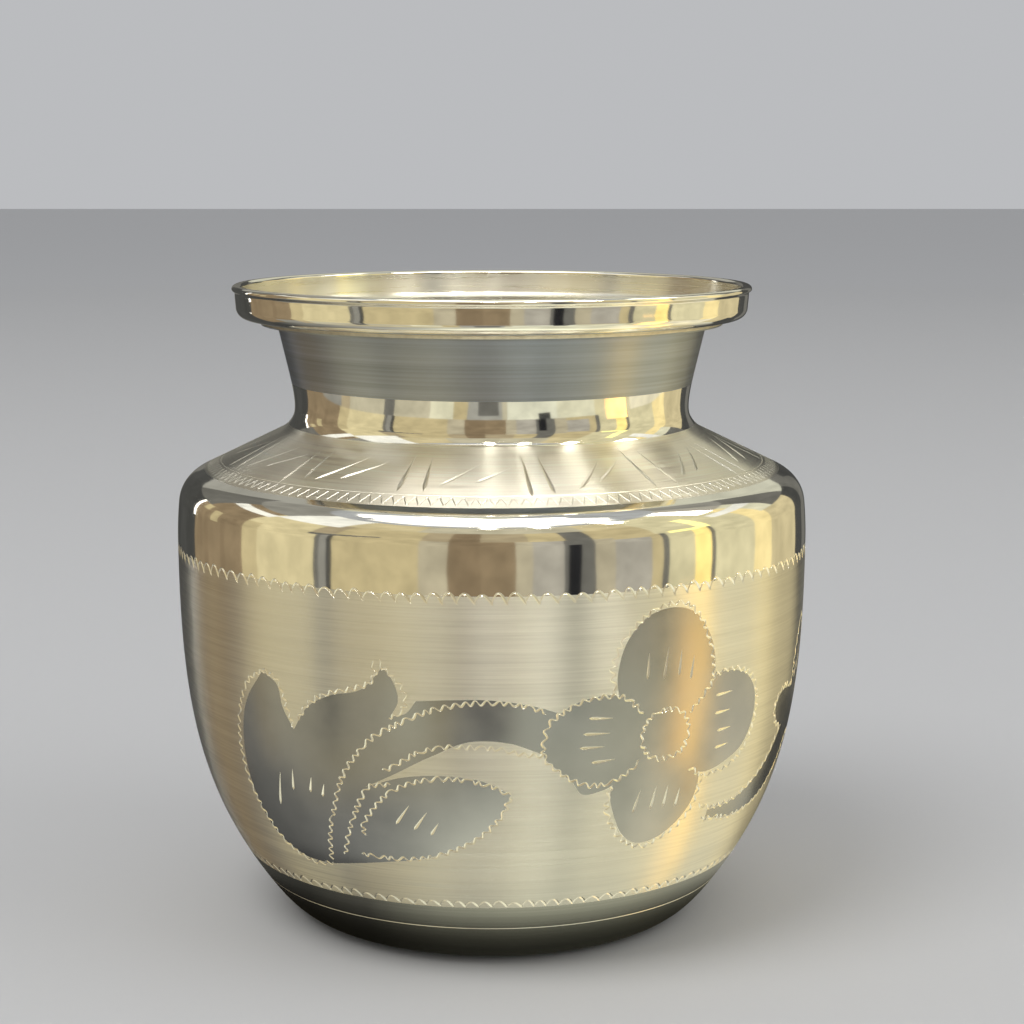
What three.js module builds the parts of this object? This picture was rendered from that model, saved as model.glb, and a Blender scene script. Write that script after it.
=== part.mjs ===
import * as THREE from 'three';

// A lota, the round water pot of south Asia, in thin white metal.
// Five spun shells lap into each other and are brazed, with a bead of solder along each lap.
// Millimetres and degrees, +Z up. Radii are from the pot's axis, and heights are above the table.

// Facets around the axis
const TURN_STEPS = 60;

// Sheet and laps
const WALL = 0.8; // sheet of the base, bowl, shoulder and neck
const LAP_SHEET = 0.6; // the thinned edge that reaches inside the next shell
const LAP_LENGTH = 2.5; // how far it reaches
const LAP_CLEARANCE = 0.12; // room for solder beside it
const BEAD_LEG = 0.6; // side of the solder bead along each lap

// Base: a flat standing ring round a dished middle, then a full heel up to the turned line
const FOOT_RADIUS = 23.5;
const FOOT_RING_WIDTH = 4;
const DISH_RISE = 1.4;
const HEEL_PULL = 3.5; // how far the heel runs on flat before it turns up
const BASE_RADIUS = 32.3; // at the turned line
const BASE_HEIGHT = 6.15; // of the turned line
const BASE_LEAN = 35.4; // of the wall there, from upright
const BASE_PULL = 5.8; // how early the heel takes up that lean

// Bowl: from the turned line to the widest circle, where the wall stands upright
const BELLY_RADIUS = 43.1;
const BELLY_RISE = 46.25; // from the turned line to the widest circle
const BELLY_LOW_PULL = 15.8; // fullness of the curve near the base
const BELLY_HIGH_PULL = 21; // fullness of the curve near the widest circle

// Shoulder: an upright band, a round corner, a straight cone and a cove up to the waist
const BAND_DRAW = 0.25; // how much narrower the band is at its top
const BAND_RISE = 4.69; // from the widest circle to the start of the corner
const CORNER_RADIUS = 4.7;
const CONE_SLOPE = 25.8; // from level
const COVE_RADIUS = 4.3;
const WAIST_RADIUS = 26.8;

// Neck: flares from the waist up to a flange under the collar
const NECK_RISE = 11.58; // from the waist to the top of the flange
const NECK_FLARE = 2.4; // how much wider the neck is under the flange than at the waist
const FLANGE_WIDTH = 2.2;

// Mouth collar: a level ledge that turns up into a band with an out-turned lip
const COLLAR_SHEET = 0.9;
const COLLAR_OVERHANG = 5.65; // from the neck under the flange to the top of the band
const COLLAR_RISE = 4.5; // from the underside of the ledge to the rim
const COLLAR_CORNER = 1.5;
const COLLAR_LEAN = 4; // of the band, from upright
const LIP_OVERHANG = 0.4; // beyond the band
const LIP_FLICK = 0.6; // height over which the band turns out to the lip
const LIP_ROUND = 0.55; // height of the rounded edge

const at = (radius, height) => new THREE.Vector2(radius, height);
const leaning = (degrees) =>
  at(Math.sin(THREE.MathUtils.degToRad(degrees)), Math.cos(THREE.MathUtils.degToRad(degrees)));
const UPRIGHT = leaning(0);

// A circular arc of the outline. Angles are from level, outwards, in degrees.
function arc(centre, radius, from, to) {
  const start = THREE.MathUtils.degToRad(from);
  const end = THREE.MathUtils.degToRad(to);
  return new THREE.EllipseCurve(centre.x, centre.y, radius, radius, start, end, to < from);
}

// A free curve of the outline, which leaves start along one direction and reaches end along another
function sweep(start, startDirection, startPull, end, endDirection, endPull) {
  const first = start.clone().addScaledVector(startDirection, startPull);
  const second = end.clone().addScaledVector(endDirection, -endPull);
  return new THREE.CubicBezierCurve(start, first, second, end);
}

// The point at t on a curve that climbs the outside of the pot, moved in by depth.
// Beyond its ends the curve runs on straight.
function sunk(curve, t, depth) {
  const inside = THREE.MathUtils.clamp(t, 0, 1);
  const tangent = curve.getTangent(inside);
  const point = curve.getPoint(inside);
  point.addScaledVector(tangent, (t - inside) * curve.getLength());
  return point.add(at(-tangent.y, tangent.x).multiplyScalar(depth));
}

// The t at which the sunk curve passes a height
function reach(curve, depth, height) {
  let low = -0.5;
  let high = 1.5;
  for (let step = 0; step < 50; step += 1) {
    const middle = (low + high) / 2;
    if (sunk(curve, middle, depth).y < height) low = middle;
    else high = middle;
  }
  return (low + high) / 2;
}

const radiusAt = (curve, depth, height) => sunk(curve, reach(curve, depth, height), depth).x;

// Points along a curve from t = from to t = to. The depth may change along the way.
function trace(curve, steps, fromDepth = 0, toDepth = fromDepth, from = 0, to = 1) {
  const points = [];
  for (let step = 0; step <= steps; step += 1) {
    const share = step / steps;
    const t = THREE.MathUtils.lerp(from, to, share);
    points.push(sunk(curve, t, THREE.MathUtils.lerp(fromDepth, toDepth, share)));
  }
  return points;
}

// Points along the sunk curve between two heights, cut level at both
function traceBetween(curve, steps, depth, fromHeight, toHeight) {
  const from = reach(curve, depth, fromHeight);
  const to = reach(curve, depth, toHeight);
  const points = trace(curve, steps, depth, depth, from, to);
  points[0].y = fromHeight;
  points[steps].y = toHeight;
  return points;
}

// The outline, from the foot to the rim
const heel = sweep(
  at(FOOT_RADIUS, 0), at(1, 0), HEEL_PULL,
  at(BASE_RADIUS, BASE_HEIGHT), leaning(BASE_LEAN), BASE_PULL,
);
const bellyHeight = BASE_HEIGHT + BELLY_RISE;
const belly = sweep(
  at(BASE_RADIUS, BASE_HEIGHT), leaning(BASE_LEAN), BELLY_LOW_PULL,
  at(BELLY_RADIUS, bellyHeight), UPRIGHT, BELLY_HIGH_PULL,
);

const bandRadius = BELLY_RADIUS - BAND_DRAW;
const cornerCentre = at(bandRadius - CORNER_RADIUS, bellyHeight + BAND_RISE);
const bandPull = BAND_RISE / 3;
const band = sweep(
  at(BELLY_RADIUS, bellyHeight), UPRIGHT, bandPull,
  at(bandRadius, cornerCentre.y), UPRIGHT, bandPull,
);
const corner = arc(cornerCentre, CORNER_RADIUS, 0, 90 - CONE_SLOPE);

// The cone runs straight from the corner to the cove, and touches both arcs
const coneNormal = leaning(CONE_SLOPE);
const coveCentre = at(WAIST_RADIUS + COVE_RADIUS, 0);
const acrossCone = CORNER_RADIUS + COVE_RADIUS - (coveCentre.x - cornerCentre.x) * coneNormal.x;
coveCentre.y = cornerCentre.y + acrossCone / coneNormal.y;
const waistHeight = coveCentre.y;
const lowerCove = arc(coveCentre, COVE_RADIUS, 270 - CONE_SLOPE, 180);

const collarHeight = waistHeight + NECK_RISE;
const flangeHeight = collarHeight - WALL;
const neckRadius = WAIST_RADIUS + NECK_FLARE;
const flangeRadius = neckRadius + FLANGE_WIDTH;
const toNeck = at(neckRadius, flangeHeight).sub(coveCentre);
const neckTouch = toNeck.angle() + Math.acos(COVE_RADIUS / toNeck.length());
const upperCove = arc(coveCentre, COVE_RADIUS, 180, THREE.MathUtils.radToDeg(neckTouch));
const neck = new THREE.LineCurve(upperCove.getPoint(1), at(neckRadius, flangeHeight));

const boreRadius = radiusAt(neck, WALL, collarHeight);
const lipHeight = collarHeight + COLLAR_RISE - LIP_ROUND;
const collarTop = at(neckRadius + COLLAR_OVERHANG, lipHeight - LIP_FLICK);
const collarLeanRise = collarTop.y - collarHeight - COLLAR_CORNER;
const collarFoot = at(
  collarTop.x - collarLeanRise * Math.tan(THREE.MathUtils.degToRad(COLLAR_LEAN)),
  collarHeight + COLLAR_CORNER,
);
const ledge = new THREE.LineCurve(
  at(boreRadius, collarHeight),
  at(collarFoot.x - COLLAR_CORNER, collarHeight),
);
const collarCorner = arc(
  at(collarFoot.x - COLLAR_CORNER, collarFoot.y), COLLAR_CORNER, 270, 360,
);
const collarPull = collarLeanRise / 3;
const collarBand = sweep(
  collarFoot, leaning(COLLAR_LEAN), collarPull,
  collarTop, UPRIGHT, collarPull,
);
const flickPull = LIP_FLICK / 2;
const flick = sweep(
  collarTop, UPRIGHT, flickPull,
  at(collarTop.x + LIP_OVERHANG, lipHeight), UPRIGHT, flickPull,
);
const lipInner = collarTop.x - COLLAR_SHEET;
const lipHalf = (COLLAR_SHEET + LIP_OVERHANG) / 2;
const lip = new THREE.EllipseCurve(
  lipInner + lipHalf, lipHeight, lipHalf, LIP_ROUND, 0, Math.PI,
);

// Depths of a lap behind the outline that it follows
const lapOuter = WALL + LAP_CLEARANCE;
const lapInner = lapOuter + LAP_SHEET;
const baseLapTop = BASE_HEIGHT + LAP_LENGTH;
const bellyLapFoot = bellyHeight - LAP_LENGTH;
const neckLapFoot = waistHeight - LAP_LENGTH;

// Base pan: its rim steps in and reaches up inside the bowl
function basePan() {
  const ringInner = FOOT_RADIUS - FOOT_RING_WIDTH;
  const dish = new THREE.QuadraticBezierCurve(
    at(0, DISH_RISE), at(ringInner * 0.55, DISH_RISE), at(ringInner, 0),
  );
  const floor = new THREE.QuadraticBezierCurve(
    at(FOOT_RADIUS, WALL), at(ringInner * 0.9, WALL), at(0, DISH_RISE + WALL),
  );
  return [
    ...trace(dish, 3),
    ...trace(heel, 6),
    at(radiusAt(belly, lapOuter, BASE_HEIGHT), BASE_HEIGHT),
    ...traceBetween(belly, 2, lapOuter, BASE_HEIGHT, baseLapTop).slice(1),
    ...traceBetween(belly, 1, lapInner, sunk(belly, 0, lapInner).y, baseLapTop).reverse(),
    ...trace(heel, 4, WALL, lapInner).slice(1, -1).reverse(),
    ...trace(floor, 3),
  ];
}

// Bowl: both edges are cut level
function bellyBowl() {
  return [
    ...trace(belly, 12),
    ...traceBetween(belly, 9, WALL, BASE_HEIGHT, bellyHeight).reverse(),
  ];
}

// Shoulder: its skirt reaches down inside the bowl, and its step sits on the bowl's edge
function shoulderDome() {
  const throat = traceBetween(lowerCove, 3, WALL, sunk(lowerCove, 0, WALL).y, waistHeight);
  return [
    ...trace(band, 3),
    ...trace(corner, 5).slice(1),
    ...trace(lowerCove, 5),
    ...throat.reverse(),
    ...trace(corner, 3, WALL).reverse(),
    ...trace(band, 2, lapInner, WALL).slice(1, -1).reverse(),
    ...traceBetween(belly, 1, lapInner, bellyLapFoot, bellyHeight).reverse(),
    ...traceBetween(belly, 1, lapOuter, bellyLapFoot, bellyHeight),
  ];
}

// Neck: its spigot drops inside the throat of the shoulder, and its flange carries the collar
function neckFunnel() {
  const spigotOuter = WAIST_RADIUS - lapOuter;
  const spigotInner = WAIST_RADIUS - lapInner;
  return [
    at(spigotOuter, waistHeight),
    ...trace(upperCove, 3),
    at(neckRadius, flangeHeight),
    at(flangeRadius, flangeHeight),
    at(flangeRadius, collarHeight),
    at(boreRadius, collarHeight),
    ...trace(upperCove, 2, lapInner, WALL).reverse(),
    at(spigotInner, neckLapFoot),
    at(spigotOuter, neckLapFoot),
  ];
}

// Collar: the ledge rests on the neck's flange
function mouthCollar() {
  return [
    ledge.getPoint(0),
    ...trace(collarCorner, 4),
    ...trace(collarBand, 3).slice(1),
    ...trace(flick, 3).slice(1),
    ...lip.getPoints(6).slice(1),
    ...trace(collarBand, 2, COLLAR_SHEET).slice(0, -1).reverse(),
    ...trace(collarCorner, 2, COLLAR_SHEET).slice(0, -1).reverse(),
    at(boreRadius, collarHeight + COLLAR_SHEET),
  ];
}

// A bead of solder: a three-cornered ring that lies flat on the end of a lap at one height
// and leans on the wall beside it, which the curve gives. A negative leg hangs below the lap.
function lapBead(curve, lapRadius, height, leg) {
  const wallRadius = (level) => radiusAt(curve, lapOuter, level);
  return [
    at(lapRadius, height),
    at(wallRadius(height), height),
    at(wallRadius(height + leg), height + leg),
  ];
}

// The collar's bead lies outside, in the corner between the flange and the ledge
function collarBead() {
  const inner = flangeRadius + LAP_CLEARANCE;
  return [
    at(inner, collarHeight - BEAD_LEG),
    at(inner + BEAD_LEG, collarHeight),
    at(inner, collarHeight),
  ];
}

// Finishes
const metal = (color, roughness) =>
  new THREE.MeshStandardMaterial({ color, roughness, metalness: 1 });
const brushed = metal(0xc4bfae, 0.34);
const mirror = metal(0xd8d4c4, 0.06);
const satin = metal(0x9d9a8d, 0.3);
const solder = metal(0xb5ad98, 0.45);

// A closed section, turned about the axis. The section runs anticlockwise, seen with the axis
// on its left, and its repeated neighbours are dropped.
function turned(name, section, material) {
  const apart = section.filter(
    (point, index) => index === 0 || point.distanceTo(section[index - 1]) > 1e-4,
  );
  const area = THREE.ShapeUtils.area(apart);
  if (area < 0) apart.reverse();
  const onAxis = apart[0].x === 0 && apart.at(-1).x === 0;
  if (!onAxis) apart.push(apart[0].clone());
  const geometry = new THREE.LatheGeometry(apart, TURN_STEPS);
  geometry.rotateX(Math.PI / 2);
  const mesh = new THREE.Mesh(geometry, material);
  mesh.name = name;
  return mesh;
}

const lapRadiusOf = (curve, height) => radiusAt(curve, lapInner, height);

const lota = new THREE.Group();
lota.add(
  turned('base_pan', basePan(), satin),
  turned('belly_bowl', bellyBowl(), brushed),
  turned('shoulder_dome', shoulderDome(), brushed),
  turned('neck_funnel', neckFunnel(), brushed),
  turned('mouth_collar', mouthCollar(), mirror),
  turned('base_solder', lapBead(belly, lapRadiusOf(belly, baseLapTop), baseLapTop, BEAD_LEG), solder),
  turned('belly_solder', lapBead(belly, lapRadiusOf(belly, bellyLapFoot), bellyLapFoot, -BEAD_LEG), solder),
  turned('neck_solder', lapBead(lowerCove, WAIST_RADIUS - lapInner, neckLapFoot, -BEAD_LEG), solder),
  turned('collar_solder', collarBead(), solder),
);

export default lota;
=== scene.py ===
"""The lota's looks: fine turned shells with cut engraving, their finishes, and a plain studio."""
import math

import bpy
import numpy as np
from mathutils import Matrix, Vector, kdtree
from mathutils.geometry import delaunay_2d_cdt


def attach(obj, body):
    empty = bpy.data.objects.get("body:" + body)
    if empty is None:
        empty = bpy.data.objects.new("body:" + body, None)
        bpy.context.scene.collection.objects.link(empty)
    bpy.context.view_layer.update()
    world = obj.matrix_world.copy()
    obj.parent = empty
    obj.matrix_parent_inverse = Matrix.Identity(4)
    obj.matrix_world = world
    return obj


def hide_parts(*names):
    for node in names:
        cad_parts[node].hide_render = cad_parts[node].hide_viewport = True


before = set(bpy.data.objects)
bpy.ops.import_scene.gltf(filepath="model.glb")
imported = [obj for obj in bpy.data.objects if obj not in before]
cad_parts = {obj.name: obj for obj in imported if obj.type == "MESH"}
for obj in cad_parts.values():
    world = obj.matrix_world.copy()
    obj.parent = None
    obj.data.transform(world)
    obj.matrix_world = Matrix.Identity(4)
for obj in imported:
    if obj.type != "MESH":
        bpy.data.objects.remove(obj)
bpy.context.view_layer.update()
scene = bpy.context.scene

MM = 0.001

# Meshes, in millimetres
COLUMNS = 480  # facets around the axis
BEAD_COLUMNS = 240
SHORTEST_GAP = 1e-4  # between stretches that a flat facet joins
NEAREST_CUTS = 6  # pieces of cut that are looked at round a place
CUT_STARTS_AT = 0.1  # how far into a cut a facet's middle lies to count as cut
GRID_CLEARANCE = 0.1  # between the cuts and the plain grid
WELD_DECIMALS = 5

# Outline of the pot, in millimetres and degrees, as in the CAD part
WALL = 0.8
LAP_SHEET = 0.6
LAP_LENGTH = 2.5
LAP_CLEARANCE = 0.12
BEAD_LEG = 0.6
FOOT_RADIUS = 23.5
FOOT_RING_WIDTH = 4
DISH_RISE = 1.4
HEEL_PULL = 3.5
BASE_RADIUS = 32.3
BASE_HEIGHT = 6.15
BASE_LEAN = 35.4
BASE_PULL = 5.8
BELLY_RADIUS = 43.1
BELLY_RISE = 46.25
BELLY_LOW_PULL = 15.8
BELLY_HIGH_PULL = 21
BAND_DRAW = 0.25
BAND_RISE = 4.69
CORNER_RADIUS = 4.7
CONE_SLOPE = 25.8
COVE_RADIUS = 4.3
WAIST_RADIUS = 26.8
EDGE_START = 6
WAIST_TURN = 25
WAIST_TOP = 76.5
WAIST_LOW_PULL = 1.6
WAIST_HIGH_PULL = 3.0
NECK_RISE = 11.58
NECK_FLARE = 2.4
FLANGE_WIDTH = 2.2
COLLAR_SHEET = 0.9
COLLAR_OVERHANG = 5.65
COLLAR_RISE = 4.5
COLLAR_CORNER = 1.5
COLLAR_LEAN = 4
LIP_OVERHANG = 0.4
LIP_FLICK = 0.6
LIP_ROUND = 0.55


def at(radius, height):
    return np.array([radius, height], float)


def leaning(degrees):
    return at(math.sin(math.radians(degrees)), math.cos(math.radians(degrees)))


UPRIGHT = leaning(0)


class Arc:
    """A circular or elliptical stretch of the outline, its angles in degrees from level."""

    def __init__(self, centre, radius, start, end, height=None):
        self.centre, self.start, self.end = centre, math.radians(start), math.radians(end)
        self.half = at(radius, radius if height is None else height)

    def place(self, t):
        angle = self.start + (self.end - self.start) * t
        across = np.stack([np.cos(angle), np.sin(angle)], -1)
        along = np.stack([-np.sin(angle), np.cos(angle)], -1) * np.sign(self.end - self.start)
        return self.centre + self.half * across, self.half * along


class Sweep:
    """A free stretch that leaves start along one direction and reaches end along another."""

    def __init__(self, start, start_way, start_pull, end, end_way, end_pull):
        self.knots = start, start + start_way * start_pull, end - end_way * end_pull, end

    def place(self, t):
        a, b, c, d = self.knots
        t = np.asarray(t)[..., None]
        s = 1 - t
        point = a * s**3 + 3 * b * s * s * t + 3 * c * s * t * t + d * t**3
        return point, (b - a) * s * s + 2 * (c - b) * s * t + (d - c) * t * t


class Straight:
    def __init__(self, start, end):
        self.start, self.end = start, end

    def place(self, t):
        t = np.asarray(t)[..., None]
        return self.start + (self.end - self.start) * t, (self.end - self.start) + 0 * t


class Part:
    """The share of another stretch from start to end."""

    def __init__(self, curve, start, end):
        self.curve, self.start, self.length = curve, start, end - start

    def place(self, t):
        points, ways = self.curve.place(self.start + self.length * np.asarray(t))
        return points, ways * self.length


def curve_length(curve):
    points = curve.place(np.linspace(0, 1, 201))[0]
    return np.linalg.norm(np.diff(points, axis=0), axis=1).sum()


def trace(curve, steps, depth=0.0, start=0.0, end=1.0):
    """Points and outward normals along a curve, moved in by depth. Beyond its ends it runs on straight."""
    t = np.linspace(start, end, steps + 1)
    inside = np.clip(t, 0, 1)
    points, ways = curve.place(inside)
    ways = ways / np.linalg.norm(ways, axis=1)[:, None]
    normals = np.stack([ways[:, 1], -ways[:, 0]], 1)
    points = points + ways * ((t - inside) * curve_length(curve))[:, None]
    depths = np.linspace(*depth, steps + 1) if isinstance(depth, tuple) else np.full(steps + 1, depth)
    return points - normals * depths[:, None], normals


def reach(curve, depth, height):
    """The t at which the sunk curve passes a height."""
    low, high = -0.5, 1.5
    for _ in range(50):
        middle = (low + high) / 2
        if trace(curve, 0, depth, middle, middle)[0][0, 1] < height:
            low = middle
        else:
            high = middle
    return (low + high) / 2


def between(curve, steps, depth, low, high):
    points, normals = trace(curve, steps, depth, reach(curve, depth, low), reach(curve, depth, high))
    points[0, 1], points[-1, 1] = low, high
    return points, normals


def radius_at(curve, depth, height):
    t = reach(curve, depth, height)
    return trace(curve, 0, depth, t, t)[0][0, 0]


def back(stretch):
    """The same stretch run the other way, so that it faces the other side."""
    return stretch[0][::-1], -stretch[1][::-1]


def corner_at(radius, height):
    """A single point, where the section turns sharply."""
    return at(radius, height)[None], np.zeros((1, 2))


base_rim, belly_rim = at(BASE_RADIUS, BASE_HEIGHT), at(BELLY_RADIUS, BASE_HEIGHT + BELLY_RISE)
BELLY_HEIGHT = belly_rim[1]
heel = Sweep(at(FOOT_RADIUS, 0), at(1, 0), HEEL_PULL, base_rim, leaning(BASE_LEAN), BASE_PULL)
belly = Sweep(base_rim, leaning(BASE_LEAN), BELLY_LOW_PULL, belly_rim, UPRIGHT, BELLY_HIGH_PULL)
band_top = belly_rim + at(-BAND_DRAW, BAND_RISE)
corner_centre = band_top - at(CORNER_RADIUS, 0)
band = Sweep(belly_rim, UPRIGHT, BAND_RISE / 3, band_top, UPRIGHT, BAND_RISE / 3)
corner = Arc(corner_centre, CORNER_RADIUS, 0, 90 - CONE_SLOPE)
cone_normal = leaning(CONE_SLOPE)
cove_centre = at(WAIST_RADIUS + COVE_RADIUS, 0)
across_cone = CORNER_RADIUS + COVE_RADIUS - (cove_centre[0] - corner_centre[0]) * cone_normal[0]
cove_centre[1] = corner_centre[1] + across_cone / cone_normal[1]
WAIST_HEIGHT = cove_centre[1]
lower_cove = Arc(cove_centre, COVE_RADIUS, 270 - CONE_SLOPE, 180)
cone = Straight(corner.place(1.0)[0], lower_cove.place(0.0)[0])

COLLAR_HEIGHT = WAIST_HEIGHT + NECK_RISE
flange_height = COLLAR_HEIGHT - WALL
neck_radius = WAIST_RADIUS + NECK_FLARE
flange_radius = neck_radius + FLANGE_WIDTH
to_neck = at(neck_radius, flange_height) - cove_centre
neck_touch = math.atan2(to_neck[1], to_neck[0]) + math.acos(COVE_RADIUS / np.linalg.norm(to_neck))
upper_cove = Arc(cove_centre, COVE_RADIUS, 180, math.degrees(neck_touch))
neck = Straight(upper_cove.place(1.0)[0], at(neck_radius, flange_height))
bore_radius = radius_at(neck, WALL, COLLAR_HEIGHT)

# Outside, the band turns evenly into the round edge, and the waist is softer than one small round
round_edge = Arc(corner_centre, CORNER_RADIUS, EDGE_START, 90 - CONE_SLOPE)
edge_foot = round_edge.place(0.0)[0]
band_pull = (edge_foot[1] - BELLY_HEIGHT) / 3
polished_band = Sweep(belly_rim, UPRIGHT, band_pull, edge_foot, leaning(-EDGE_START), band_pull)
turn_in = Arc(cove_centre, COVE_RADIUS, 270 - CONE_SLOPE, 180 + WAIST_TURN)
neck_way = (neck.end - neck.start) / np.linalg.norm(neck.end - neck.start)
soft_top = reach(neck, 0, WAIST_TOP)
waist = Sweep(
    turn_in.place(1.0)[0], leaning(-WAIST_TURN), WAIST_LOW_PULL,
    neck.place(soft_top)[0], neck_way, WAIST_HIGH_PULL,
)
waist_seam = reach(waist, 0, WAIST_HEIGHT)
waist_below, waist_above = Part(waist, 0, waist_seam), Part(waist, waist_seam, 1)
seam_radius = waist.place(waist_seam)[0][0]

lip_height = COLLAR_HEIGHT + COLLAR_RISE - LIP_ROUND
collar_top = at(neck_radius + COLLAR_OVERHANG, lip_height - LIP_FLICK)
lean_rise = collar_top[1] - COLLAR_HEIGHT - COLLAR_CORNER
collar_foot = at(
    collar_top[0] - lean_rise * math.tan(math.radians(COLLAR_LEAN)), COLLAR_HEIGHT + COLLAR_CORNER
)
collar_corner = Arc(collar_foot - at(COLLAR_CORNER, 0), COLLAR_CORNER, 270, 360)
collar_band = Sweep(collar_foot, leaning(COLLAR_LEAN), lean_rise / 3, collar_top, UPRIGHT, lean_rise / 3)
flick = Sweep(
    collar_top, UPRIGHT, LIP_FLICK / 2,
    at(collar_top[0] + LIP_OVERHANG, lip_height), UPRIGHT, LIP_FLICK / 2,
)
lip_half = (COLLAR_SHEET + LIP_OVERHANG) / 2
lip = Arc(at(collar_top[0] - COLLAR_SHEET + lip_half, lip_height), lip_half, 0, 180, LIP_ROUND)

lap_outer = WALL + LAP_CLEARANCE
lap_inner = lap_outer + LAP_SHEET
base_lap_top = BASE_HEIGHT + LAP_LENGTH
belly_lap_foot = BELLY_HEIGHT - LAP_LENGTH
neck_lap_foot = WAIST_HEIGHT - LAP_LENGTH


# Surfaces. An azimuth is in degrees from the viewer's side, growing to the right.
def around(azimuth, radius, height):
    angle = np.radians(azimuth)
    return np.stack([radius * np.sin(angle), -radius * np.cos(angle), height + 0 * angle], -1)


def turned(stretches, finish, closed=False, columns=COLUMNS):
    """Corner points, normals and finishes of the facets of a section turned about the axis.
    Neighbouring stretches are joined by flat facets. The finish may be a function of the place."""
    runs = []
    ring = stretches + stretches[:1] if closed else stretches
    for index, (points, normals) in enumerate(ring):
        if index:
            gap = np.stack([ring[index - 1][0][-1], points[0]])
            way = gap[1] - gap[0]
            length = np.linalg.norm(way)
            if length > SHORTEST_GAP:
                normal = at(way[1], -way[0]) / length
                runs.append((gap, np.stack([normal, normal])))
        if index < len(stretches) and len(points) > 1:
            runs.append((points, normals))
    azimuth = np.arange(columns) * 360 / columns
    corners, shades, finishes = [], [], []
    for run in runs:
        for table, out in zip(run, (corners, shades)):
            here = around(azimuth[:, None], table[None, :, 0], table[None, :, 1])
            after = np.roll(here, -1, 0)
            square = [here[:, :-1], after[:, :-1], after[:, 1:], here[:, 1:]]
            out.append(np.stack(square, 2).reshape(-1, 4, 3))
        middles = (run[0][:-1] + run[0][1:]) / 2
        kinds = [finish(middle) if callable(finish) else finish for middle in middles]
        finishes.append(np.tile(kinds, columns))
    return np.concatenate(corners), np.concatenate(shades), np.concatenate(finishes)


class Grooves(list):
    """V-shaped cuts: for each, a table of azimuth, length along, half width and depth as the graver went."""

    def cut(self, *values):
        self.append(np.stack([np.broadcast_to(x, values[0].shape).astype(float) for x in values], 1))


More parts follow.
